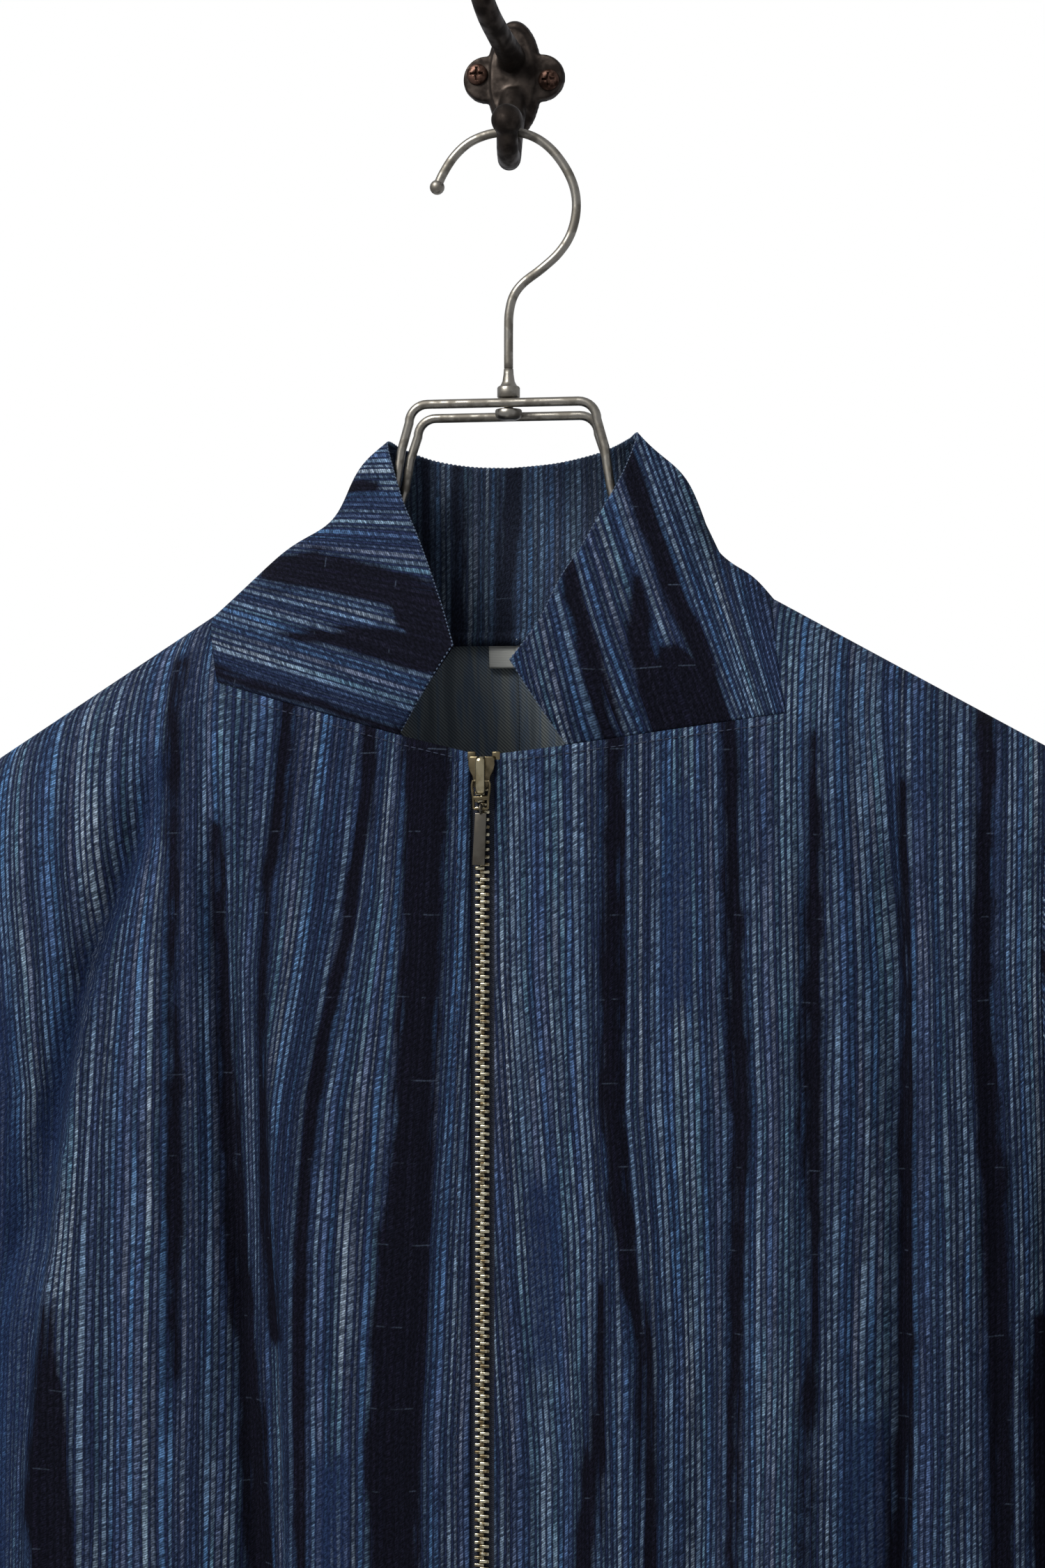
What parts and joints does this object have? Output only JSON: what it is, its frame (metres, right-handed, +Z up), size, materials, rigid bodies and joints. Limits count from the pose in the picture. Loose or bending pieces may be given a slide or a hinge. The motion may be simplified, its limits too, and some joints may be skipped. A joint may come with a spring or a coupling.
{
  "type": "striped zip jacket on a wire hanger and wall hook",
  "caption": "Zip-front cotton jacket with an open stand collar, hung flat on a two-wire steel hanger from a cast wall hook.",
  "frame": {"origin": "middle of the wall plate's back face, which lies on the wall", "axes": "+Z up, +Y into the wall, +X to the viewer's right; the jacket hangs in front of the wall at negative Y"},
  "size_m": [0.608, 0.106, 0.8925],
  "materials": {
    "indigo_twill": "indigo striped cotton twill, matt, with dark dyed bands",
    "zip_tape": "woven dark navy tape",
    "label_cloth": "plain off-white woven label, bare",
    "aged_brass": "dulled brass, tumbled",
    "steel_wire": "drawn steel wire, slightly dulled",
    "cast_iron": "cast iron, dark brown-black, worn on the high spots",
    "screw_steel": "blackened cross-head screws"
  },
  "bodies": {
    "garment_and_hook": {"front_left": "indigo_twill", "front_right": "indigo_twill", "back_left": "indigo_twill", "back_right": "indigo_twill", "sleeve_left": "indigo_twill", "sleeve_right": "indigo_twill", "collar_left": "indigo_twill", "collar_right": "indigo_twill", "collar_back": "indigo_twill", "zip_tape_left": "zip_tape", "zip_tape_right": "zip_tape", "label": "label_cloth", "zip_chain": "aged_brass", "zip_slider": "aged_brass", "zip_stop_left": "aged_brass", "zip_stop_right": "aged_brass", "zip_retainer": "aged_brass", "hanger_wire_front": "steel_wire", "hanger_wire_back": "steel_wire", "hanger_hook": "steel_wire", "hanger_ferrule": "steel_wire", "wall_hook": "cast_iron", "screw_left": "screw_steel", "screw_right": "screw_steel"},
    "pull_link": {"zip_pull_link": "aged_brass"},
    "pull_tab": {"zip_pull_tab": "aged_brass"}
  },
  "joints": [
    {"name": "link_swing", "type": "hinge", "parent": "garment_and_hook", "child": "pull_link", "pos_m": [0.004, -0.1015, -0.2948], "axis": [-1, 0, 0], "range_deg": [0, 110]},
    {"name": "tab_swing", "type": "hinge", "parent": "pull_link", "child": "pull_tab", "pos_m": [0.004, -0.1015, -0.30565], "axis": [-1, 0, 0], "range_deg": [0, 80]}
  ]
}
